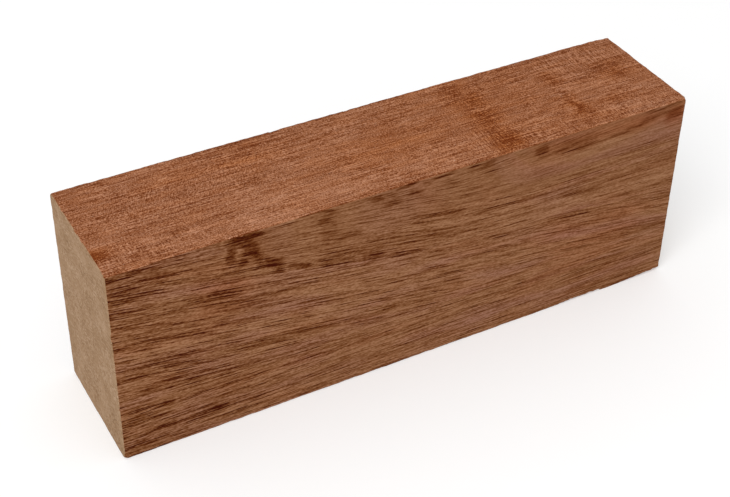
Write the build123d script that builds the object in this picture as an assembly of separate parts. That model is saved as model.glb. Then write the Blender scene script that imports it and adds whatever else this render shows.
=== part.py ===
from build123d import *
import os

# A block of sawn hardwood, standing on one of its long narrow faces.
# X runs along the grain, Y through the thickness and Z up. The origin is the middle
# of the underside. The front is the wide face on the -Y side.
# All sizes are in millimetres.

# The block as it left the saw
block_length = 225.0
block_height = 80.0
block_thickness = 50.0

# The sawn arrises, eased a little by handling
long_arris_radius = 0.5
end_arris_radius = 0.35

# Grain torn off the lower front arris, in from the right-hand end
corner_tear_width = 1.7
corner_tear_length = 27.0

# A second splinter on that arris, which broke off square and runs out along the grain
splinter_start = 28.2
splinter_full_length = 14.0
splinter_runout = 12.5
splinter_width = 1.0

# Grain worn off the upper back arris at the right-hand end
back_wear_width = 1.2
back_wear_length = 11.0

# Two short nicks in the upper back arris, measured from the left-hand end
first_nick_start = 80.0
first_nick_full_length = 2.5
first_nick_runout = 4.0
first_nick_width = 0.7
second_nick_start = 109.5
second_nick_full_length = 0.8
second_nick_runout = 4.5
second_nick_width = 0.65

# The upper front arris rubbed down at the left-hand end
rubbed_full_length = 9.0
rubbed_runout = 20.0
rubbed_width = 0.75

# How far each corner is knocked back along its three arrises
hard_knock = 2.0
plain_knock = 1.5
light_knock = 1.0

# How far a cutter stands out of the block, so that it cuts cleanly
cutter_spare = 1.0

# Signs for the two ends, the two wide faces and the two long narrow faces
LEFT, RIGHT = -1, 1
FRONT, BACK = -1, 1
LOWER, UPPER = -1, 1


def sawn_block():
    """The eased rectangular section, run along the grain, with its end arrises eased."""
    section = RectangleRounded(block_thickness, block_height, long_arris_radius)
    left_end = Plane.YZ.offset(-block_length / 2)
    bar = extrude(left_end * Pos(0, block_height / 2) * section, amount=block_length)
    end_faces = bar.faces().filter_by(Axis.X)
    return fillet(end_faces.edges(), end_arris_radius)


def arris_wedge(side, level, x, width):
    """Section, square to the grain, of what is missing from a long arris at x."""
    if level == UPPER:
        arris_height = block_height
    else:
        arris_height = 0.0
    outer_y = side * (block_thickness / 2 + cutter_spare)
    outer_z = arris_height + level * cutter_spare
    leg = width + 2 * cutter_spare
    wedge = Polygon(
        (outer_y, outer_z),
        (outer_y - side * leg, outer_z),
        (outer_y, outer_z - level * leg),
        align=None,
    )
    return Plane.YZ.offset(x) * wedge


def torn_grain(end, side, level, start, full_length, runout, width):
    """Cutter for grain torn off a long arris.

    It begins square at start, counted from the given end, keeps its width for
    full_length, and then thins to nothing along the grain over runout.
    """
    end_x = end * block_length / 2
    stations = [(start, width)]
    if start == 0:
        stations.insert(0, (-cutter_spare, width))
    if full_length > 0:
        stations.append((start + full_length, width))
    stations.append((start + full_length + runout, 0.0))
    wedges = [arris_wedge(side, level, end_x - end * reach, torn) for reach, torn in stations]
    return loft(wedges, ruled=True)


def knock_corner(block, end, side, level, reach):
    """Take a corner off with one flat face that meets its arrises at reach."""
    corner_z = block_height if level == UPPER else 0.0
    corner = Vector(end * block_length / 2, side * block_thickness / 2, corner_z)
    face = Plane(origin=corner - Vector(end * reach, 0, 0), z_dir=(end, side, level))
    return split(block, bisect_by=face, keep=Keep.BOTTOM)


block = sawn_block()

block -= torn_grain(RIGHT, FRONT, LOWER, 0, 0, corner_tear_length, corner_tear_width)
block -= torn_grain(
    RIGHT, FRONT, LOWER, splinter_start, splinter_full_length, splinter_runout, splinter_width
)
block -= torn_grain(RIGHT, BACK, UPPER, 0, 0, back_wear_length, back_wear_width)
block -= torn_grain(
    LEFT, BACK, UPPER, first_nick_start, first_nick_full_length, first_nick_runout, first_nick_width
)
block -= torn_grain(
    LEFT, BACK, UPPER, second_nick_start, second_nick_full_length, second_nick_runout, second_nick_width
)
block -= torn_grain(LEFT, FRONT, UPPER, 0, rubbed_full_length, rubbed_runout, rubbed_width)

corner_knocks = [
    (RIGHT, FRONT, LOWER, hard_knock),
    (RIGHT, FRONT, UPPER, plain_knock),
    (RIGHT, BACK, UPPER, plain_knock),
    (RIGHT, BACK, LOWER, light_knock),
    (LEFT, FRONT, LOWER, plain_knock),
    (LEFT, FRONT, UPPER, light_knock),
    (LEFT, BACK, UPPER, light_knock),
    (LEFT, BACK, LOWER, light_knock),
]
for end, side, level, reach in corner_knocks:
    block = knock_corner(block, end, side, level, reach)

os.makedirs("parts", exist_ok=True)
export_step(block, "parts/hardwood_block.step")
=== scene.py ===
import math

import bmesh
import bpy
from mathutils import Matrix, Vector, noise


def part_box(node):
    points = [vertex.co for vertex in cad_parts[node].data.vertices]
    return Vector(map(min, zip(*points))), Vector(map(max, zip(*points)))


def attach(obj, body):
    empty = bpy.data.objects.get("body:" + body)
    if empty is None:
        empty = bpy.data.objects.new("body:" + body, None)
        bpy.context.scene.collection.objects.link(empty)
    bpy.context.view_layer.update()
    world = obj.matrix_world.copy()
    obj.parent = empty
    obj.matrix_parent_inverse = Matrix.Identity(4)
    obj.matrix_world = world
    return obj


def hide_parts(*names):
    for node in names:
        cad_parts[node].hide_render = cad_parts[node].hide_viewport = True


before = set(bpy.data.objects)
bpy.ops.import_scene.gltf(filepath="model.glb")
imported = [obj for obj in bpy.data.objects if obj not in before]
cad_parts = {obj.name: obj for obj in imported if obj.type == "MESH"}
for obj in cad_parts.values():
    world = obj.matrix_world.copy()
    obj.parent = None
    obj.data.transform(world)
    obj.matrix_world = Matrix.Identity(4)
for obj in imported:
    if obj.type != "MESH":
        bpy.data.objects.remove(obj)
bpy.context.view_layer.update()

# The block: its shape
# One piece of coarse red-brown hardwood, sawn square on all six sides and left unplaned.
# The saw left the arrises sharp. Handling has eased them, and grain has torn off in places.
mm = 0.001
foot_corner, top_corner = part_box("hardwood_block")
block_size = top_corner - foot_corner
block_middle = (top_corner + foot_corner) / 2
arris_ease = 0.3 * mm

# Signs for the two ends, the two wide faces and the two long narrow faces
LEFT, RIGHT = -1, 1
FRONT, BACK = -1, 1
LOWER, UPPER = -1, 1

sawn = bmesh.new()
bmesh.ops.create_cube(sawn, size=1.0)
bmesh.ops.scale(sawn, vec=block_size, verts=sawn.verts)
bmesh.ops.translate(sawn, vec=block_middle, verts=sawn.verts)
bmesh.ops.bevel(
    sawn, geom=sawn.edges[:], offset=arris_ease, offset_type="OFFSET",
    segments=2, profile=0.5, affect="EDGES", material=-1,
)

# The surface is divided finely in a band beside each arris, where the wear is, and wider
# between the bands, with a step for each of the three ways that edges run.
arris_band = 3.0 * mm
band_step = 0.42 * mm
open_steps = (0.75 * mm, 1.25 * mm, 0.95 * mm)
same_place = 1e-7


def score_line(mesh, axis, place):
    """Cut the whole surface along one plane square to an axis."""
    at = Vector((0, 0, 0))
    at[axis] = place
    across = Vector((0, 0, 0))
    across[axis] = 1
    everything = mesh.verts[:] + mesh.edges[:] + mesh.faces[:]
    bmesh.ops.bisect_plane(mesh, geom=everything, plane_co=at, plane_no=across, dist=same_place)


def divide_runs(mesh, axis, open_step):
    """Divide the edges that run along an axis: finely in the bands, wider between them."""
    runs = {}
    for edge in mesh.edges:
        span = edge.verts[1].co - edge.verts[0].co
        length = abs(span[axis])
        if span.length - length < same_place:
            runs.setdefault(round(length / mm, 2), []).append(edge)
    for length, edges in runs.items():
        step = band_step if length * mm <= arris_band + same_place else open_step
        cuts = round(length * mm / step) - 1
        if cuts > 0:
            bmesh.ops.subdivide_edges(mesh, edges=edges, cuts=cuts, use_grid_fill=False)


# Grain torn off the long arrises, and rubbed off in the last place: which arris, the end it is
# counted from, where it starts, how far it keeps its width, how far it takes to run out, and
# its width. Where it starts in from the end it broke off square, between two scored lines.
torn_places = [
    (FRONT, LOWER, RIGHT, 0.0 * mm, 0.0 * mm, 27.0 * mm, 1.7 * mm),
    (FRONT, LOWER, RIGHT, 28.2 * mm, 14.0 * mm, 12.5 * mm, 1.0 * mm),
    (BACK, UPPER, RIGHT, 0.0 * mm, 0.0 * mm, 11.0 * mm, 1.2 * mm),
    (BACK, UPPER, LEFT, 80.0 * mm, 2.5 * mm, 4.0 * mm, 0.7 * mm),
    (BACK, UPPER, LEFT, 109.5 * mm, 0.8 * mm, 4.5 * mm, 0.65 * mm),
    (FRONT, UPPER, LEFT, 0.0 * mm, 9.0 * mm, 20.0 * mm, 0.75 * mm),
]
square_break = 0.06 * mm

for axis in range(3):
    score_line(sawn, axis, foot_corner[axis] + arris_band)
    score_line(sawn, axis, top_corner[axis] - arris_band)
for side, level, end, start, full, runout, torn in torn_places:
    if start > 0:
        broken_off = block_middle.x + end * (block_size.x / 2 - start)
        score_line(sawn, 0, broken_off - square_break)
        score_line(sawn, 0, broken_off + square_break)
for axis, open_step in enumerate(open_steps):
    divide_runs(sawn, axis, open_step)

# What handling wore off the long arrises and off those round the ends: how much, how much
# that varies, and over what length. The fibres in a torn place vary its width as well.
long_wear = 0.42 * mm
long_wear_swing = 0.22 * mm
long_wear_pitch = 4.0 * mm
end_wear = 0.34 * mm
end_wear_swing = 0.2 * mm
end_wear_pitch = 3.0 * mm
fibre_swing = 0.35
fibre_pitch = 1.6 * mm

# How far a corner is knocked back along its three arrises, lightly or as stated
light_knock = 1.0 * mm
corner_knocks = {
    (RIGHT, FRONT, LOWER): 2.0 * mm,
    (RIGHT, FRONT, UPPER): 1.5 * mm,
    (RIGHT, BACK, UPPER): 1.5 * mm,
    (LEFT, FRONT, LOWER): 1.5 * mm,
}

# How deep the saw marked the ends, the wide faces and the narrow faces, which also have a
# faint ripple from its blade
end_relief = 0.03 * mm
wide_relief = 0.04 * mm
narrow_relief = 0.07 * mm
ripple_relief = 0.05 * mm
ripple_pitch = 4.3 * mm


def ragged(seed, run, pitch):
    """A number that wanders to both sides of 0 along an arris."""
    coarse = noise.noise((run / pitch, seed * 7.3, seed * 1.9))
    fine = noise.noise((run / pitch * 3.1, seed, 4.2))
    return coarse + 0.5 * fine


def worn_width(side, level, x):
    """How much of a long arris is missing at x, measured down each of its faces."""
    seed = 2 * side + level
    width = long_wear + long_wear_swing * ragged(seed, x, long_wear_pitch)
    for torn_side, torn_level, end, start, full, runout, torn in torn_places:
        if (torn_side, torn_level) == (side, level):
            reach = end * (end * block_size.x / 2 - (x - block_middle.x))
            if reach >= start:
                kept = min(1.0, 1.0 - (reach - start - full) / runout)
                fibre = 1.0 + fibre_swing * ragged(seed + 11, x, fibre_pitch)
                width = max(width, torn * kept * fibre)
    return width


def uneven(*place):
    """A wandering number from 0 to 1."""
    return 0.5 + 0.5 * noise.noise(place)


def saw_relief(axis, point):
    """How deep the saw left the surface at a point of a face square to the axis."""
    x, y, z = point
    if axis == 0:
        return end_relief * uneven(y / (2.5 * mm), z / (9 * mm), x)
    if axis == 1:
        return wide_relief * uneven(x / (14 * mm), z / (6 * mm), y / mm)
    ripple = 0.5 + 0.5 * math.sin(2 * math.pi * (x + 0.12 * y) / ripple_pitch)
    strength = uneven(x / (30 * mm), y / (18 * mm), z / mm)
    fuzz = uneven(x / (3.2 * mm), y / (1.9 * mm), z / mm)
    return ripple_relief * ripple * strength + narrow_relief * fuzz


def wear_down(vert, way, gap, axes, width):
    """Take a width off an arris, or off a corner, in equal parts from each face that meets there."""
    missing = width - sum(gap[axis] for axis in axes)
    if missing > 0:
        for axis in axes:
            vert.co[axis] -= way[axis] * missing / len(axes)
            gap[axis] += missing / len(axes)


# For each point, the gap is how far in it lies from the nearer face on each axis, and the way
# is the side that face is on.
for vert in sawn.verts:
    co = vert.co.copy()
    gap = [0.0, 0.0, 0.0]
    way = [0, 0, 0]
    for axis in range(3):
        to_foot = co[axis] - foot_corner[axis]
        to_top = top_corner[axis] - co[axis]
        gap[axis] = min(to_foot, to_top)
        way[axis] = 1 if to_top < to_foot else -1
    for axis in range(3):
        if gap[axis] < arris_ease:
            vert.co[axis] -= way[axis] * saw_relief(axis, co)
    wear_down(vert, way, gap, (1, 2), worn_width(way[1], way[2], co.x))
    for across, along in ((1, 2), (2, 1)):
        seed = 3 * way[0] + across * way[across]
        width = end_wear + end_wear_swing * ragged(seed, co[along], end_wear_pitch)
        wear_down(vert, way, gap, (0, across), width)
    wear_down(vert, way, gap, (0, 1, 2), corner_knocks.get(tuple(way), light_knock))


# The block: how its grain runs
# On the wide faces, lines of growth leave the top arris steeply, sweep to the right and
# flatten out, and lower down they fall gently from the left end. The fibres and their pores
# have a slope of their own. Lengths in the grain and in the figure are in millimetres.

# Where the dark band leaves the top arris, where the sweep ends, and how many layers the
# lines take up for each millimetre of the arris that they leave
band_start = 48.0
sweep_end = 140.0
arris_share = 0.15

# A line of growth first drops steeply and then gently: how deep each part takes it in the
# end, and over what length
steep_depth = 17.5
steep_length = 6.5
gentle_depth = 25.0
gentle_length = 90.0

# How far the fibres fall for each millimetre to the right, and how much less they do so at
# the upper right and beside the top arris. Over the turn-over's depth they turn level.
fibre_slope = 0.16
less_at_right = 0.14
less_at_arris = 0.10
turn_over_depth = 18


def soft_step(value, low, high):
    """From 0 below the low value to 1 above the high one, with soft ends."""
    share = max(0.0, min(1.0, (value - low) / (high - low)))
    return share * share * (3 - 2 * share)


def sweep(start, along):
    """How deep a line of growth lies if it left the top arris at the start."""
    run = max(0.0, along - start)
    flatter = 1 - 0.004 * min(start - band_start, 50)
    steep = steep_depth * (1 - math.exp(-run / steep_length))
    gentle = gentle_depth * (1 - math.exp(-run / gentle_length))
    return flatter * (steep + gentle)


def growth_layer(along, down):
    """The layer of growth at a place, called by its depth at the left end.

    The dark band cuts across these layers. Layers below 0 to the right of it belong to lines
    that leave the top arris there. Where such a line starts is found by halving.
    """
    here = min(along, sweep_end) + max(0.0, along - sweep_end) * soft_step(down, 22, 45)
    if along > band_start and down < sweep(band_start, here):
        low, high = band_start, here
        for halving in range(14):
            middle = (low + high) / 2
            if sweep(middle, here) < down:
                high = middle
            else:
                low = middle
        level_off = 0.9 * min(0.0, down - 25) * soft_step(along, 130, 165)
        return arris_share * (band_start - low) + level_off
    # the depth of some lines at the left end, and here
    lines = [
        (-50, 0.16 * along - 50),
        (0, 0.16 * along - 0.1 * max(0.0, along - 100)),
        (33, 33 + 0.13 * along - 0.08 * max(0.0, along - 100)),
        (48, 47.3 + 0.083 * min(along, 135)),
        (60, 60 + 0.042 * min(along, 130)),
        (71, 71 + 0.025 * min(along, 140)),
        (110, 110),
    ]
    for (upper, upper_depth), (lower, lower_depth) in zip(lines, lines[1:]):
        if down < lower_depth:
            return upper + (lower - upper) * (down - upper_depth) / (lower_depth - upper_depth)
    return 110.0


def fibre_fall(along, down):
    """How far the fibres fall for each millimetre to the right."""
    turn_over = 44 + 0.035 * along
    fall = fibre_slope * (1 - soft_step(down, turn_over, turn_over + turn_over_depth))
    fall -= less_at_right * soft_step(along, 112, 162) * (1 - soft_step(down, 28, 45))
    fall -= less_at_arris * (1 - soft_step(down, 3, 12))
    return fall


# The block: its figure
# Dense dark growth follows the lines of growth in bands and streaks, with pale streaks
# between them, and two dark bars cross the top. All are painted on from these places.

# Along the lines of growth on the wide faces: middle from the left end, layer, half length,
# half width, and how dark or light
dark_streaks = [
    (141, 18.4, 11, 1.2, 0.60), (178, 19.0, 13, 0.9, 0.90), (200, 18.8, 18, 0.9, 0.50),
    (79, -4.0, 6, 0.3, 0.75), (90, -4.0, 10, 0.4, 0.50), (106, -4.6, 14, 0.5, 0.50),
    (190, -4.8, 34, 0.5, 0.50), (104, -8.0, 5, 0.4, 0.50), (114, -8.2, 8, 0.4, 0.45),
    (112, -9.3, 4, 0.4, 0.45), (129, -11.3, 9, 0.4, 0.45), (142, -9.8, 8, 0.4, 0.40),
    (5, 30.3, 8, 0.9, 0.80), (32, 39.1, 17, 0.8, 0.85), (4, 45.1, 7, 0.8, 0.95),
    (3, 46.7, 5, 0.7, 0.70), (81, 40.8, 13, 0.9, 0.50), (119, 36.3, 9, 1.5, 0.35),
    (17, 51.3, 12, 0.9, 1.15), (24, 52.8, 6, 0.8, 1.00), (40, 51.1, 12, 0.7, 0.70),
    (35, 54.7, 8, 0.7, 0.70), (76, 51.4, 10, 0.8, 0.45), (30, 59.4, 36, 0.6, 0.65),
    (16.5, 60.3, 5, 1.1, 1.10), (76, 59.8, 18, 0.7, 0.40), (121, 60.5, 7, 0.9, 0.60),
    (137, 60.0, 5, 0.8, 0.45), (14, 70.2, 16, 0.7, 0.80), (11.5, 70.0, 5, 0.9, 1.10),
    (36.5, 69.8, 4, 1.0, 1.15), (50, 70.3, 14, 0.6, 0.60), (66, 69.8, 8, 0.8, 0.45),
    (105, 70.9, 7, 0.8, 0.50),
]
light_streaks = [
    (12, 34.0, 16, 1.7, 1.00), (50, 33.6, 28, 1.2, 0.70), (110, 33.9, 28, 1.2, 0.35),
    (22, 22.8, 12, 2.5, 0.30), (28, 48.0, 34, 1.3, 0.80), (90, 46.8, 50, 1.8, 0.65),
    (190, 47.5, 40, 1.2, 0.40), (62, -1.9, 8, 0.9, 0.25), (88, -5.8, 9, 0.9, 0.25),
    (118, -9.9, 6, 0.6, 0.20), (185, -3.0, 40, 1.2, 0.45), (180, -26.4, 22, 1.5, 0.50),
]

# The dark band, with its distance below the line it follows in place of the layer
band_streaks = [
    (50.9, 0.8, 3.0, 6.0, 1.20), (57.5, 0.2, 4.5, 3.4, 1.15), (67.5, -1.1, 6, 1.8, 1.15),
    (74, -1.0, 4.5, 0.9, 0.80), (80.5, -1.5, 6.5, 1.6, 1.10), (95.5, -1.6, 6, 1.5, 1.05),
    (90, -1.2, 16, 0.9, 0.70), (102.5, -0.6, 4.5, 1.0, 0.80), (111, 0.4, 4.5, 1.3, 0.90),
    (119, 0.9, 4, 0.9, 0.75),
]

# Blots and short streaks on the wide faces, with their depth below the top in place of the
# layer: the dark blot, its branches and what lies below it, the left end, the second blot and
# the sweep below it, the lower left, the top arris, the wedge at the right, and a few more
dark_blots = [
    (49.0, 1.4, 6.0, 2.0, 1.35), (46.5, 3.2, 6.0, 2.2, 1.30), (49.4, 7.4, 3.8, 4.4, 1.25),
    (42.6, 6.3, 1.9, 4.5, 1.35), (46.4, 11.9, 1.9, 2.0, 1.00), (40.5, 3.6, 3.5, 1.5, 0.60),
    (52, 11.2, 2.2, 2.4, 1.00), (43.5, 23, 5.5, 10, 0.45), (40, 20.8, 6, 0.8, 0.80),
    (30, 21.5, 9, 1.8, 0.35), (36, 15.3, 4, 1.6, 0.45),
    (8, 7, 14, 8.0, 0.55), (8, 12.3, 9, 1.2, 0.55), (6, 2, 10, 2.0, 0.70),
    (77.5, 1.4, 2.6, 1.6, 0.90), (77, 5.2, 3.2, 2.6, 0.90), (76.5, 9.6, 2.8, 1.9, 0.65),
    (80, 12.2, 3.4, 1.8, 0.80), (86.5, 14.4, 6.5, 1.5, 0.90), (100, 19, 5.5, 1.4, 0.70),
    (113.5, 22.8, 4, 1.1, 0.60), (123, 26.5, 5.5, 1.2, 0.60),
    (14.5, 52.2, 7.5, 0.9, 1.00), (20, 50.9, 5, 0.8, 0.95), (25.5, 53.6, 3.8, 0.8, 0.85),
    (97, 2.4, 2.6, 2.4, 0.70), (102, 6.2, 5, 1.2, 0.75), (107, 1.2, 5.5, 0.8, 1.10),
    (110.5, 4.4, 2.6, 2.8, 0.70), (116, 8.6, 3.5, 1.1, 0.60), (116, 1.9, 2.4, 0.7, 0.95),
    (123.5, 1.1, 4.5, 1.0, 0.90), (125.5, 4.2, 3.5, 1.5, 0.55), (133.5, 1.3, 2.6, 0.9, 0.80),
    (108.5, 10.6, 2.4, 1.8, 0.50), (140.5, 2.2, 3.0, 2.2, 0.85), (143, 6.4, 3.4, 1.7, 0.70),
    (148.5, 4.4, 2.6, 0.9, 0.70), (153.5, 2.5, 2.4, 0.6, 0.70), (147.5, 17.6, 2.8, 0.9, 0.60),
    (118, 17, 3.6, 0.9, 0.50), (144, 11, 3.0, 9.0, 0.30),
    (162.5, 3.6, 3.8, 3.5, 0.95), (177, 5.6, 11, 2.4, 0.80), (184, 3.4, 22, 3.2, 0.40),
    (182, 7.7, 11, 1.0, 0.80), (196, 7.0, 5, 1.1, 0.90), (203, 5.6, 5, 1.1, 0.95),
    (209, 4.4, 4.5, 1.6, 0.90), (214, 3.4, 4, 1.2, 0.80), (200, 4.4, 5, 1.0, 0.65),
    (212, 1.6, 6, 0.8, 0.95), (219, 0.9, 4, 0.7, 0.85), (220.5, 5.2, 4.0, 3.4, 1.00),
    (182, 27.8, 9, 1.0, 0.75), (148, 36, 4, 1.0, 0.70), (154, 47, 4, 1.5, 0.35),
    (205, 54, 4, 1.8, 0.50), (6, 75, 4, 1.3, 0.80), (6, 77, 12, 2.5, 0.45),
    (215, 72, 25, 10, 0.25), (165, 14, 45, 8.0, 0.15),
]
light_blots = [
    (153, 8, 7, 4.0, 0.40), (48, 20, 3, 1.5, 0.50), (44.4, 6.6, 1.0, 1.3, 0.35),
    (48.5, 11.6, 1.0, 0.9, 0.80), (75, 40, 45, 12, 0.40), (150, 40, 42, 12, 0.25),
    (105, 66, 50, 10, 0.25), (195, 2.8, 7, 1.0, 0.70), (180, 11, 16, 2.4, 0.35),
    (100, 11, 30, 5.0, 0.15),
]
red_blots = [
    (192, 4, 32, 4.0, 0.80), (221, 5, 5, 4.5, 1.25), (188, 50, 26, 16, 0.45),
    (40, 22, 12, 13, 0.50), (176, 63, 16, 4.0, 0.40),
]

# Marks on the narrow faces: middle from the left end and from the back, half length, half
# width, and how dark, light or red
dark_bars = [
    (150.5, 9, 4.5, 8.0, 0.65), (155, 15, 5.0, 4.0, 0.85), (152, 28.5, 7.0, 3.5, 0.65),
    (152, 30, 5.0, 14, 0.50), (152, 42.5, 5.5, 8.0, 1.20), (157, 46, 5.0, 3.0, 0.70),
    (187, 36.5, 1.4, 7.0, 1.30), (185.5, 26, 1.5, 4.0, 0.80), (188, 16.5, 1.8, 4.0, 0.80),
    (185.5, 46.5, 3.0, 4.0, 0.65), (200, 38.5, 7.0, 2.5, 0.40), (176, 1, 6.0, 1.5, 0.60),
    (203, 1.5, 4.0, 1.5, 0.80), (212, 18.5, 13, 3.0, 0.70), (196.5, 21, 4.5, 0.7, 0.90),
    (213.5, 24.5, 4.0, 5.0, 0.80), (1.4, 38.9, 3.5, 2.3, 1.55), (10, 37.5, 8.0, 0.8, 1.00),
    (10, 39.4, 7.0, 0.7, 0.60), (60, 13, 7, 5.0, 0.35), (72, 9, 10, 4.0, 0.25),
    (74, 6.0, 6.5, 0.9, 1.20), (20, 6, 18, 5.0, 0.25), (25, 13, 18, 2.4, 0.40),
    (112, 14.5, 12, 1.2, 0.45), (127, 36, 12, 1.6, 0.35), (100, 50.5, 50, 1.5, 0.85),
    (110, -0.5, 110, 1.5, 0.65),
]
light_flames = [
    (85, 22, 20, 8.0, 0.50), (35, 30, 42, 4.0, 0.30), (170, 32.3, 7.0, 0.5, 0.90),
    (172, 35.5, 11, 0.5, 0.80), (206, 35.5, 19, 0.5, 1.20), (205, 28, 18, 5.0, 0.60),
    (75, 43, 85, 10, 0.90), (208, 9, 16, 5.0, 0.50), (52, 12, 22, 10, 0.35),
    (205, 46, 18, 5.0, 0.70), (7, 34.5, 8.0, 2.0, 0.50), (5, 46, 7.0, 4.0, 0.40),
]
red_flames = [
    (115, 28, 26, 10, 0.60), (152, 25, 10, 30, 0.80), (152, 42.5, 7.0, 9.0, 1.15),
    (155, 15, 6.0, 5.0, 1.00), (1.4, 38.9, 4.0, 2.8, 1.30), (66, 12, 12, 6.0, 0.60),
    (40, 11, 11, 5.0, 0.55), (187, 36, 4.0, 9.0, 0.90), (188, 16, 4.0, 5.0, 0.75),
    (188, 44, 12, 6.0, 0.60), (213, 22, 9.0, 6.0, 0.80), (200, 38.5, 9.0, 3.0, 0.60),
    (160, 28, 38, 40, 0.30),
]

# Where the saw left short hairs of fibre leaning over, and where its teeth left fine lines
hairy_places = [
    (38, 19, 40, 11, 1.00),
]
toothed_places = [
    (205, 9, 20, 7.0, 1.00), (205, 46, 20, 4.5, 0.80), (146, 40, 8, 8.0, 0.90),
    (168, 45, 18, 5.0, 0.60), (17, 43, 18, 5.0, 0.50),
]

# The ends of a mark are crisp or soft, and past its reach nothing is left of it to see
CRISP, SOFT = 4, 2
mark_reach = 6


def patch(along, across, marks, ends):
    """The strongest of some painted marks at a place."""
    strongest = 0.0
    for middle, level, half_length, half_width, strength in marks:
        reach = ((along - middle) / half_length) ** ends + ((across - level) / half_width) ** 2
        if reach < mark_reach:
            strongest = max(strongest, strength * math.exp(-reach))
    return strongest


def wide_figure(along, down, layer):
    """Dark, light and red figure on the wide faces. Streaks break up, and all marks waver."""
    layer += 0.3 * noise.noise((along / 16, layer / 3, 4.4))
    along += 2.6 * noise.noise((along / 14, down / 1.5, 1.7))
    down += 0.8 * noise.noise((along / 9, down / 4, 8.1))
    broken = 0.9 + 0.5 * noise.noise((along / 9, down / 3, 6.6))
    below_band = down - sweep(band_start, min(along, sweep_end))
    dark = max(
        broken * patch(along, layer, dark_streaks, CRISP),
        patch(along, below_band, band_streaks, CRISP),
        patch(along, down, dark_blots, CRISP),
    )
    light = max(
        broken * patch(along, layer, light_streaks, CRISP),
        patch(along, down, light_blots, CRISP),
    )
    return dark, light, patch(along, down, red_blots, CRISP)


def narrow_figure(along, across):
    """Dark, light and red figure on the narrow faces, and how hairy and toothed they are."""
    along += 2.5 * noise.noise((along / 10, across / 3, 5.3))
    across += 0.7 * noise.noise((along / 7, across / 4, 2.2))
    figure = [patch(along, across, marks, SOFT) for marks in (dark_bars, light_flames, red_flames)]
    hairy = patch(along, across, hairy_places, CRISP)
    toothed = patch(along, across, toothed_places, CRISP)
    return figure, (hairy, toothed, 0.0)


# The finishes read where they are in the wood from these: the place itself, the place in its
# layer of growth, the rings that both ends show, the fall of the fibres, how freely the
# growth streaks flow, the figure and the marks of the saw. Towards the back the layers lean
# to the left and up, and further down the bars lean to the left.
lean_along = 0.5
lean_down = 0.12
bar_lean = 0.4

sawn.normal_update()
painted = {"grain": [], "growth": [], "rings": [], "fall": [], "flow": [], "figure": [], "sawing": []}
for vert in sawn.verts:
    along = (vert.co.x - foot_corner.x) / mm
    through = (vert.co.y - foot_corner.y) / mm
    from_back = (top_corner.y - vert.co.y) / mm
    down = (top_corner.z - vert.co.z) / mm
    leant_along = along + lean_along * through
    leant_down = down + lean_down * through
    layer = growth_layer(leant_along, leant_down)
    ring = layer
    figure = sawing = (0.0, 0.0, 0.0)
    if abs(vert.normal.z) > max(abs(vert.normal.x), abs(vert.normal.y)):
        figure, sawing = narrow_figure(along + bar_lean * down, from_back)
    elif abs(vert.normal.y) > abs(vert.normal.x):
        figure = wide_figure(leant_along, leant_down, layer)
    else:
        ring = growth_layer(lean_along * through, leant_down)
    # the streaks fade out close to where their line leaves the top arris
    flow = 1.0
    if layer < 0 and leant_along > band_start:
        flow = soft_step(leant_along - band_start + layer / arris_share, 4, 26)
    wander = 0.5 * noise.noise((along / 30, down / 9, through / 30))
    painted["grain"].extend((along, down + wander, through))
    painted["growth"].extend((along, layer, through))
    painted["rings"].extend((along, ring, through))
    painted["fall"].append(fibre_fall(along, down))
    painted["flow"].append(flow)
    painted["figure"].extend(figure)
    painted["sawing"].extend(sawing)

block_mesh = bpy.data.meshes.new("hardwood_block_surface")
sawn.to_mesh(block_mesh)
sawn.free()
for name, values in painted.items():
    if name in ("fall", "flow"):
        block_mesh.attributes.new(name, "FLOAT", "POINT").data.foreach_set("value", values)
    else:
        block_mesh.attributes.new(name, "FLOAT_VECTOR", "POINT").data.foreach_set("vector", values)
block = bpy.data.objects.new("sawn_block", block_mesh)
bpy.context.scene.collection.objects.link(block)


# The block: its finishes
# Bare wood with no oil or varnish, so hardly any gloss. The pores are open and dark, the fibre
# between them is paler, and each kind of face shows them in its own way.
bare_gloss = 0.03


def feed(tree, socket, value):
    """Give an input a value, or the socket that feeds it."""
    if isinstance(value, bpy.types.NodeSocket):
        tree.links.new(value, socket)
    else:
        socket.default_value = value


def add_node(tree, kind, inputs=None, **settings):
    """Put a node in a tree, with its settings and inputs."""
    node = tree.nodes.new("ShaderNode" + kind)
    for name, value in settings.items():
        setattr(node, name, value)
    for name, value in (inputs or {}).items():
        feed(tree, node.inputs[name], value)
    return node


def painted_on(tree, name, output="Vector"):
    """What was painted on the surface under a name."""
    return add_node(tree, "Attribute", attribute_name=name).outputs[output]


def three_parts(tree, vector):
    """The three parts of a place, or of a set of marks."""
    parts = add_node(tree, "SeparateXYZ", {"Vector": vector}).outputs
    return parts["X"], parts["Y"], parts["Z"]


def reckon(tree, operation, *values):
    """The result of one sum."""
    return add_node(tree, "Math", dict(enumerate(values)), operation=operation).outputs[0]


def weigh(tree, start, *shares):
    """A start value with shares of other values added to it."""
    total = start
    for value, share in shares:
        total = reckon(tree, "MULTIPLY_ADD", value, share, total)
    return total


def ease_between(tree, value, low, high):
    """From 0 below the low value to 1 above the high one, with soft ends."""
    inputs = {"Value": value, "From Min": low, "From Max": high}
    return add_node(tree, "MapRange", inputs, interpolation_type="SMOOTHSTEP").outputs["Result"]


def mix_colour(tree, share, one, other, blend="MIX"):
    """Some of one colour laid over another."""
    node = add_node(tree, "Mix", data_type="RGBA", blend_type=blend, clamp_factor=True)
    for slot, value in ((0, share), (6, one), (7, other)):
        feed(tree, node.inputs[slot], value)
    return node.outputs[2]


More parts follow.
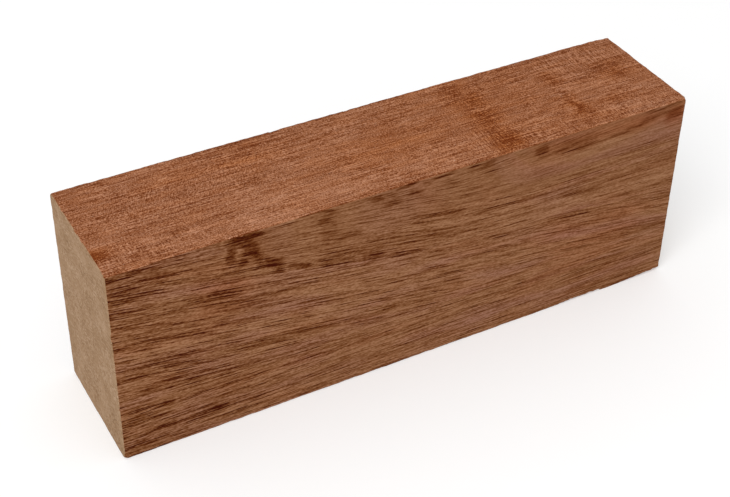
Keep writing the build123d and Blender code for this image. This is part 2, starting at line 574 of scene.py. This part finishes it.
def stain(red, green, blue):
    """A colour as a screen shows it, from 0 to 255, as the amounts of light a shader takes."""
    def light(part):
        part = part / 255
        return part / 12.92 if part <= 0.04045 else ((part + 0.055) / 1.055) ** 2.4
    return light(red), light(green), light(blue), 1.0


def shades(tree, tone, stains):
    """The colour for each tone from 0 to 1, through stains laid out evenly from dark to light."""
    node = add_node(tree, "ValToRGB", {"Fac": tone})
    stops = node.color_ramp.elements
    stops[0].color = stains[0]
    stops[1].color = stains[-1]
    for step in range(1, len(stains) - 1):
        stops.new(step / (len(stains) - 1)).color = stains[step]
    return node.outputs["Color"]


def turn(tree, place, degrees):
    """A place turned by some degrees in its plane, so that what lies along it leans."""
    inputs = {"Vector": place, "Rotation": (0, 0, math.radians(degrees))}
    return add_node(tree, "Mapping", inputs, vector_type="TEXTURE").outputs["Vector"]


def start_group(name, inputs, outputs):
    """A node group with named sockets, and what it is given and gives."""
    group = bpy.data.node_groups.new(name, "ShaderNodeTree")
    for label, kind in inputs.items():
        group.interface.new_socket(label, in_out="INPUT", socket_type="NodeSocket" + kind)
    for label, kind in outputs.items():
        group.interface.new_socket(label, in_out="OUTPUT", socket_type="NodeSocket" + kind)
    return group, group.nodes.new("NodeGroupInput").outputs, group.nodes.new("NodeGroupOutput").inputs


def fibre_tone(tree, place):
    """Soft clouds at places squeezed to the size of a thread, about -1 where dark and 1 where light."""
    cloud = add_node(tree, "TexNoise", {"Vector": place, "Scale": 1.0, "Detail": 1.0, "Roughness": 0.5})
    return reckon(tree, "MULTIPLY", reckon(tree, "SUBTRACT", cloud.outputs["Fac"], 0.5), 4.0)


# Threads of light and dark fibre, from fine pores to broad streaks, by their length and width.
# Threads with another lay are strewn in other places.
threads, given, gives = start_group(
    "threads",
    {"Place": "Vector", "Length": "Float", "Width": "Float", "Lay": "Float"},
    {"Tone": "Float"},
)
onward, down, through = three_parts(threads, given["Place"])
squeezed = add_node(threads, "CombineXYZ", {
    "X": reckon(threads, "ADD", reckon(threads, "DIVIDE", onward, given["Length"]), given["Lay"]),
    "Y": reckon(threads, "DIVIDE", down, given["Width"]),
    "Z": reckon(threads, "DIVIDE", through, given["Width"]),
}).outputs["Vector"]
threads.links.new(fibre_tone(threads, squeezed), gives["Tone"])


def lay_threads(tree, place, length, width, lay):
    """The tone of threads of one length and width, about -1 where dark and 1 where light."""
    inputs = {"Place": place, "Length": length, "Width": width, "Lay": lay}
    return add_node(tree, "Group", inputs, node_tree=threads).outputs["Tone"]


# Pores that the saw opened lengthwise: thin strokes, evenly strewn, and the softer threads
# between them. Both fall to the right at a slope that changes over the face. Each spot shows
# the nearest of a fan of slopes, so that no stroke is bent or stretched. Each slope has a lay
# of its own, and through the block the strokes shift along.
slope_step = 0.05
lay_step = 13.7
through_shift = 1.7
slanted, given, gives = start_group(
    "slanted_grain",
    {
        "Place": "Vector", "Fall": "Float", "Reach": "Float",
        "Length": "Float", "Width": "Float", "Lay": "Float",
    },
    {"Strokes": "Float", "Tone": "Float"},
)
onward, down, through = three_parts(slanted, given["Place"])
shifted_onward = reckon(slanted, "MULTIPLY_ADD", through, through_shift, onward)
steps = reckon(slanted, "DIVIDE", given["Fall"], slope_step)
lower_step = reckon(slanted, "FLOOR", steps)
upper_step = reckon(slanted, "ADD", lower_step, 1.0)
upper_share = ease_between(slanted, reckon(slanted, "SUBTRACT", steps, lower_step), 0.25, 0.75)
lower_share = reckon(slanted, "SUBTRACT", 1.0, upper_share)
all_strokes = 0.0
all_threads = 0.0
for whole_step, share in ((lower_step, lower_share), (upper_step, upper_share)):
    drop = reckon(slanted, "MULTIPLY", reckon(slanted, "MULTIPLY", whole_step, slope_step), onward)
    own_lay = reckon(slanted, "MULTIPLY_ADD", whole_step, lay_step, given["Lay"])
    squeezed = add_node(slanted, "CombineXYZ", {
        "X": reckon(slanted, "ADD", reckon(slanted, "DIVIDE", shifted_onward, given["Length"]), own_lay),
        "Y": reckon(slanted, "DIVIDE", reckon(slanted, "SUBTRACT", down, drop), given["Width"]),
    }).outputs["Vector"]
    strewn = add_node(
        slanted, "TexVoronoi", {"Vector": squeezed, "Scale": 1.0, "Randomness": 1.0},
        voronoi_dimensions="2D",
    ).outputs
    stroke = ease_between(slanted, strewn["Distance"], given["Reach"], 0.0)
    strength = reckon(slanted, "MULTIPLY_ADD", strewn["Color"], 1.2, 0.2)
    all_strokes = weigh(slanted, all_strokes, (reckon(slanted, "MULTIPLY", stroke, strength), share))
    all_threads = weigh(slanted, all_threads, (fibre_tone(slanted, squeezed), share))
slanted.links.new(all_strokes, gives["Strokes"])
slanted.links.new(all_threads, gives["Tone"])


def lay_slanted(tree, place, fall, length, width, lay, reach=0.5):
    """Slanted grain of one length and width: its strokes, 1 where dark, and the tone of its threads."""
    inputs = {"Place": place, "Fall": fall, "Length": length, "Width": width, "Lay": lay, "Reach": reach}
    return add_node(tree, "Group", inputs, node_tree=slanted).outputs


def bare_wood(name, roughness):
    """A wood finish with nothing on it yet, its tree and its shader."""
    finish = bpy.data.materials.new(name)
    finish.use_nodes = True
    tree = finish.node_tree
    shader = tree.nodes["Principled BSDF"]
    shader.inputs["Roughness"].default_value = roughness
    shader.inputs["Specular IOR Level"].default_value = bare_gloss
    return finish, tree, shader


def finish_wood(tree, shader, colour, relief, depth):
    """Give the shader its colour, and its pores their depth."""
    tree.links.new(colour, shader.inputs["Base Color"])
    bump = add_node(tree, "Bump", {"Height": relief, "Strength": 0.5, "Distance": depth})
    tree.links.new(bump.outputs["Normal"], shader.inputs["Normal"])


# The wide faces: cut along the growth, smooth, with rows of dark pore lines. The grain shows
# more strongly towards the left, the growth has a red cast in places and a cool one in others.
wide_finish, tree, shader = bare_wood("wide_face_grain", 0.65)
grain = painted_on(tree, "grain")
growth = painted_on(tree, "growth")
fall = painted_on(tree, "fall", "Fac")
flow = painted_on(tree, "flow", "Fac")
dark, light, red = three_parts(tree, painted_on(tree, "figure"))
leftward = add_node(tree, "MapRange", {
    "Value": three_parts(tree, grain)[0],
    "From Min": 0.0, "From Max": block_size.x / mm, "To Min": 1.0, "To Max": 0.0,
}).outputs["Result"]
streaks = lay_threads(tree, growth, 90.0, 0.9, 5.0)
drifts = lay_threads(tree, growth, 150.0, 3.0, 3.0)
flowing = reckon(tree, "MULTIPLY", flow, weigh(tree, 0.0, (streaks, 0.7), (drifts, 0.5)))
paleness = weigh(tree, flowing, (light, 1.0), (dark, -0.8))
reach = weigh(tree, 0.55, (paleness, -0.26))
short_pores = lay_slanted(tree, grain, fall, 8.0, 0.6, 11.0, reach)["Strokes"]
long_pores = lay_slanted(tree, grain, fall, 28.0, 0.75, 23.0, reach)["Strokes"]
fibres = lay_slanted(tree, grain, fall, 9.0, 0.5, 17.0)["Tone"]
speckle = lay_threads(tree, grain, 1.4, 0.42, 7.0)
lines = weigh(tree, 0.0, (short_pores, 0.45), (long_pores, 0.6))
torn_dark = ease_between(tree, weigh(tree, dark, (lines, 0.4)), 0.4, 1.2)
contrast = weigh(tree, 0.54, (leftward, 0.56), (flow, 0.3))
woven = weigh(tree, 0.0, (lines, -0.75), (fibres, 0.15), (speckle, 0.22))
tone = weigh(
    tree, 0.85, (reckon(tree, "MULTIPLY", contrast, woven), 1.0), (paleness, 0.11), (torn_dark, -0.25),
    (leftward, -0.05),
)
colour = shades(tree, tone, [
    stain(62, 13, 0), stain(92, 44, 10), stain(118, 72, 40), stain(140, 94, 62), stain(163, 117, 85),
])
reddened = mix_colour(tree, 1.0, colour, (1.0, 0.72, 0.60, 1.0), "MULTIPLY")
redness = weigh(tree, 0.0, (red, 0.7), (lay_threads(tree, growth, 30.0, 7.0, 31.0), 0.2))
colour = mix_colour(tree, redness, colour, reddened)
cooled = mix_colour(tree, 1.0, colour, (1.0, 0.99, 1.25, 1.0), "MULTIPLY")
coolness = weigh(tree, 0.1, (lay_threads(tree, growth, 40.0, 9.0, 43.0), 0.9))
colour = mix_colour(tree, coolness, colour, cooled)
pore_depth = 0.1 * mm
finish_wood(tree, shader, colour, woven, pore_depth)

# The narrow faces: rough off the saw, redder, with hairs of raised fibre
narrow_finish, tree, shader = bare_wood("narrow_face_sawn", 0.8)
dark, light, red = three_parts(tree, painted_on(tree, "figure"))
hairy, toothed = three_parts(tree, painted_on(tree, "sawing"))[:2]
onward, down, through = three_parts(tree, painted_on(tree, "grain"))
flat = add_node(tree, "CombineXYZ", {"X": onward, "Y": through, "Z": down}).outputs["Vector"]
lines = lay_threads(tree, flat, 7.0, 0.34, 2.0)
long_lines = lay_threads(tree, flat, 36.0, 0.45, 27.0)
streaks = lay_threads(tree, flat, 45.0, 1.6, 7.0)
speckle = lay_threads(tree, flat, 0.6, 0.3, 9.0)
drifts = lay_threads(tree, flat, 16.0, 7.0, 19.0)
hairs = lay_threads(tree, turn(tree, flat, 60), 1.8, 0.3, 4.0)
tooth_lines = lay_threads(tree, turn(tree, flat, 90), 4.5, 0.5, 6.0)
weave = weigh(
    tree, 0.0, (lines, 0.68), (long_lines, 0.45), (speckle, 1.08), (tooth_lines, 0.15),
    (reckon(tree, "MULTIPLY", hairy, hairs), 0.75), (reckon(tree, "MULTIPLY", toothed, tooth_lines), 0.8),
)
torn_dark = ease_between(tree, weigh(tree, dark, (weave, -0.25)), 0.0, 1.1)
tone = weigh(
    tree, 0.52, (weave, 0.52), (streaks, 0.06), (drifts, 0.06), (torn_dark, -0.38), (light, 0.16),
)
colour = shades(tree, tone, [
    stain(103, 47, 17), stain(126, 70, 39), stain(148, 92, 59), stain(172, 116, 84), stain(194, 139, 109),
])
reddened = mix_colour(tree, 1.0, colour, (1.0, 0.80, 0.50, 1.0), "MULTIPLY")
redness = weigh(tree, 0.12, (red, 0.75), (lay_threads(tree, flat, 16.0, 3.0, 31.0), 0.25))
colour = mix_colour(tree, redness, colour, reddened)
hair_depth = 0.2 * mm
finish_wood(tree, shader, colour, weave, hair_depth)

# The ends: sawn across the grain, pale and even, with the pores as small dots
end_finish, tree, shader = bare_wood("end_grain", 0.75)
grain = painted_on(tree, "grain")
ringed = add_node(tree, "Mapping", {
    "Vector": painted_on(tree, "rings"), "Scale": (1.0, 1.0, 0.4),
}).outputs["Vector"]
rings = lay_threads(tree, ringed, 30.0, 3.5, 5.3)
mottle = lay_threads(tree, grain, 30.0, 8.0, 2.4)
dots = lay_threads(tree, ringed, 8.0, 0.42, 12.4)
clusters = ease_between(tree, lay_threads(tree, grain, 30.0, 5.0, 21.6), -0.8, 0.6)
dots = reckon(tree, "MULTIPLY", dots, weigh(tree, 0.4, (clusters, 0.6)))
tone = weigh(tree, 0.51, (rings, 0.08), (mottle, 0.12), (dots, 0.46))
colour = shades(tree, tone, [stain(125, 94, 65), stain(158, 127, 97), stain(187, 158, 131)])
finish_wood(tree, shader, colour, dots, pore_depth)

# Which finish a face has, by how squarely it looks along the block or up and down
WIDE, NARROW, END = range(3)
end_facing = 0.6
narrow_facing = 0.4
for finish in (wide_finish, narrow_finish, end_finish):
    block_mesh.materials.append(finish)
for face in block_mesh.polygons:
    face.material_index = WIDE
    if abs(face.normal.x) > end_facing:
        face.material_index = END
    elif abs(face.normal.z) > narrow_facing:
        face.material_index = NARROW

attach(block, "root")
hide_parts("hardwood_block")

# The floor and the light
# White paper in a pale room, under one large soft lamp. Seen straight, or in a mirror or glass,
# paper and room are white round the block. The light that they throw on it is less.
paper_half_width = 3.0
paper_shade = 0.8
paper_glow = 0.25
room_light = 0.7
lamp_place = Vector((-1.1, -0.9, 1.5))
lamp_aim = Vector((0, 0, 0.04))
lamp_width = 1.1
lamp_power = 20.0


def seen_straight(tree):
    """1 where the camera, a mirror or glass looks, and 0 where the light on the block is reckoned."""
    path = add_node(tree, "LightPath").outputs
    mirrored = reckon(tree, "MAXIMUM", path["Is Glossy Ray"], path["Is Transmission Ray"])
    return reckon(tree, "MAXIMUM", path["Is Camera Ray"], mirrored)


floor_mesh = bpy.data.meshes.new("floor")
spread = bmesh.new()
bmesh.ops.create_grid(spread, x_segments=1, y_segments=1, size=paper_half_width)
spread.to_mesh(floor_mesh)
spread.free()
floor = bpy.data.objects.new("floor", floor_mesh)
bpy.context.scene.collection.objects.link(floor)
paper = bpy.data.materials.new("white_paper")
paper.use_nodes = True
tree = paper.node_tree
shader = tree.nodes["Principled BSDF"]
shader.inputs["Base Color"].default_value = (paper_shade, paper_shade, paper_shade, 1.0)
shader.inputs["Roughness"].default_value = 1.0
shader.inputs["Specular IOR Level"].default_value = 0.0
shader.inputs["Emission Color"].default_value = (1, 1, 1, 1)
glow = reckon(tree, "MULTIPLY", seen_straight(tree), paper_glow)
tree.links.new(glow, shader.inputs["Emission Strength"])
floor_mesh.materials.append(paper)

world = bpy.data.worlds.new("studio")
world.use_nodes = True
tree = world.node_tree
room = tree.nodes["Background"]
room.inputs["Color"].default_value = (1, 1, 1, 1)
room_glow = weigh(tree, room_light, (seen_straight(tree), 1.0 - room_light))
tree.links.new(room_glow, room.inputs["Strength"])
bpy.context.scene.world = world

lamp = bpy.data.lights.new("key_light", "AREA")
lamp.shape = "SQUARE"
lamp.size = lamp_width
lamp.energy = lamp_power
lamp_stand = bpy.data.objects.new("key_light", lamp)
lamp_stand.location = lamp_place
lamp_stand.rotation_euler = (lamp_aim - lamp_place).to_track_quat("-Z", "Y").to_euler()
bpy.context.scene.collection.objects.link(lamp_stand)

# The camera
# It looks down on the block from its left front, at the angle of the photograph: where it
# stands, how far it is turned to the right, how steeply it looks down and how it is tilted.
camera_place = (-0.21983, -0.38442, 0.37765)
turned_right = math.radians(29.01)
looking_down = math.radians(37.86)
tilted = math.radians(0.963)
camera = bpy.data.cameras.new("camera")
camera.sensor_width = 36.0
camera.lens = 75.55
camera_stand = bpy.data.objects.new("camera", camera)
camera_stand.matrix_world = (
    Matrix.Translation(camera_place)
    @ Matrix.Rotation(-turned_right, 4, "Z")
    @ Matrix.Rotation(math.radians(90) - looking_down, 4, "X")
    @ Matrix.Rotation(tilted, 4, "Z")
)
bpy.context.scene.collection.objects.link(camera_stand)
bpy.context.scene.camera = camera_stand
bpy.context.scene.view_settings.view_transform = "Standard"
